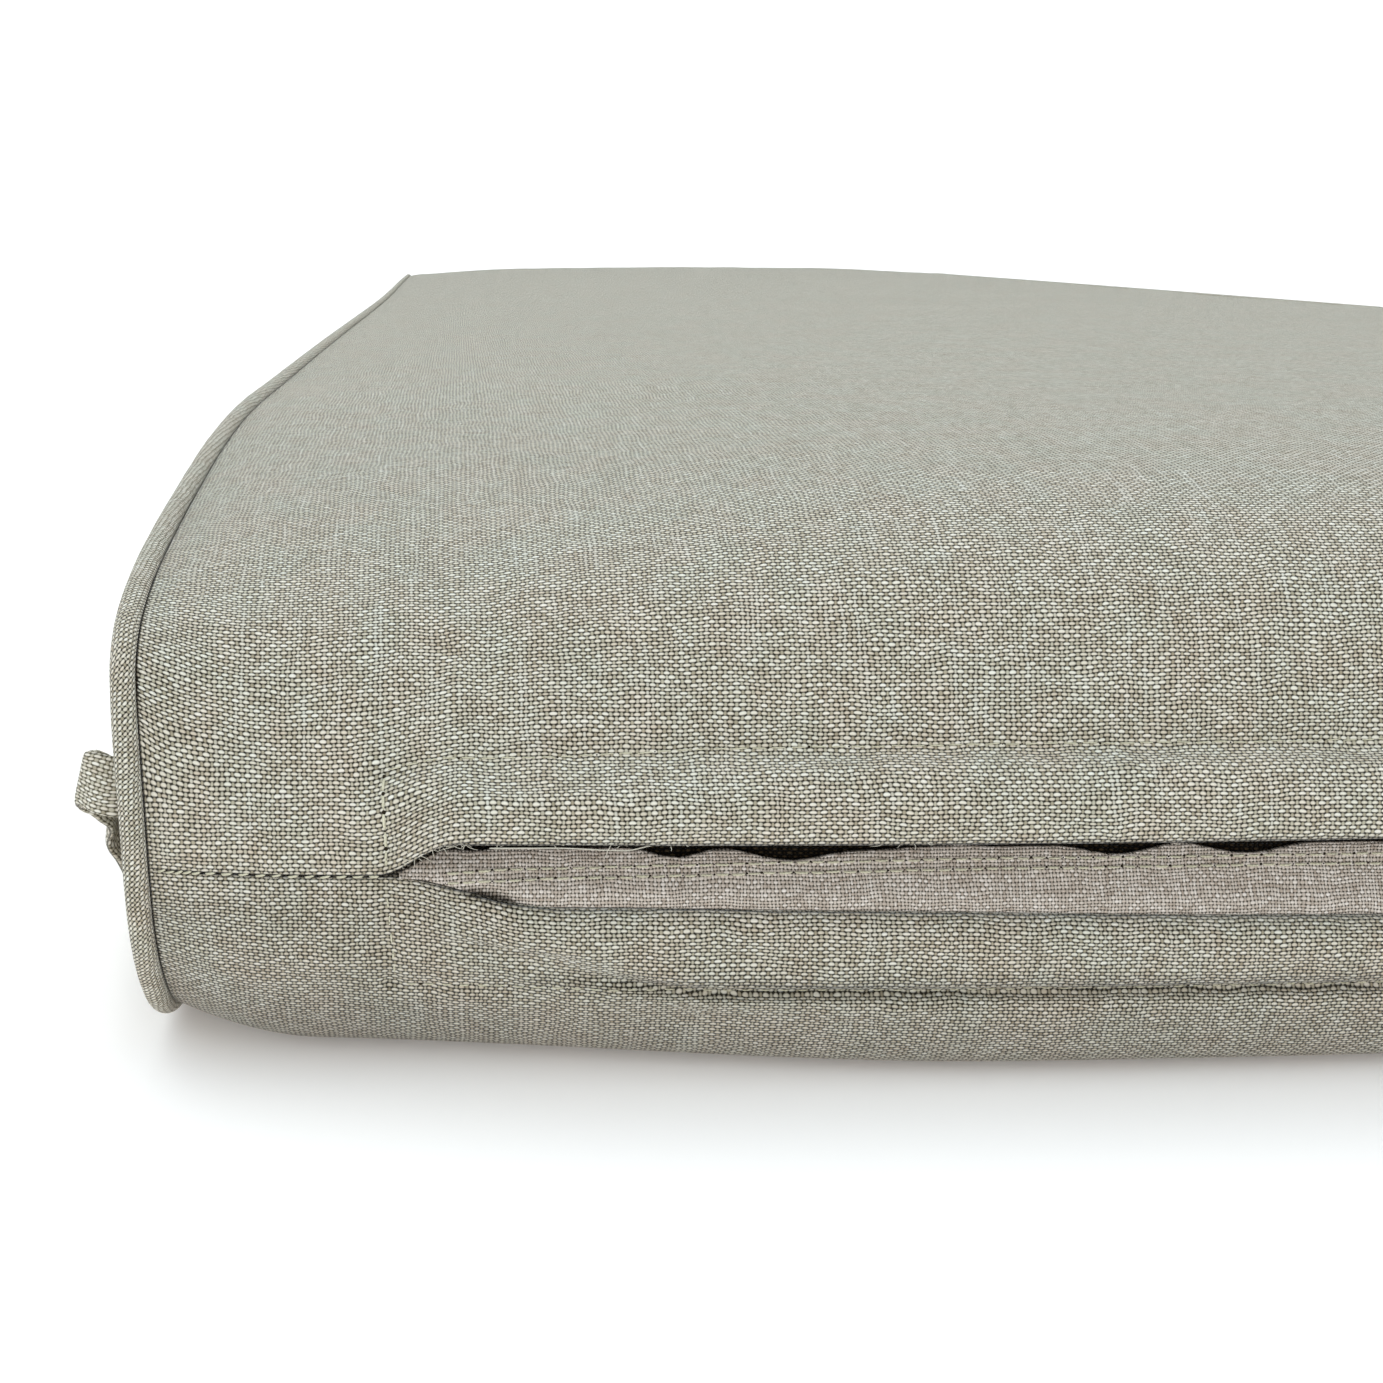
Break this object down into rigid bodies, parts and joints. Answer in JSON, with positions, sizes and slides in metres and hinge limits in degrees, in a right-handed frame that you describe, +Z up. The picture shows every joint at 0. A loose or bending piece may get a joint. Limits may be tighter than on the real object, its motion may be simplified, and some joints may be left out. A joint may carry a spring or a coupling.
{
  "type": "sun lounger cushion",
  "caption": "Long box cushion for a sun lounger, with corded piping along its sides, a lapped closure slit with a woven tape at one end, and a flat cloth tie at each corner of that end.",
  "frame": {"origin": "centre of the footprint, at the surface that the cushion lies on", "axes": "+Y along the length from the closure end to the head end, +X to the right when looking along +Y, +Z up"},
  "size_m": [0.636, 1.9003, 0.104],
  "materials": {
    "cover_cloth": "plain woven cloth of mottled grey-green and beige yarn, matt",
    "piping_cloth": "the same plain woven cloth cut on the bias round a cord, matt",
    "closure_tape": "finer plain woven tape in pinkish beige, matt",
    "tie_cloth": "the cover's cloth folded to a flat strip, matt"
  },
  "bodies": {
    "root": {"cushion_body": "cover_cloth", "side_panel_left": "cover_cloth", "side_panel_right": "cover_cloth", "piping_left": "piping_cloth", "piping_right": "piping_cloth", "closure_tape": "closure_tape", "tie_left": "tie_cloth", "tie_right": "tie_cloth"}
  },
  "joints": []
}
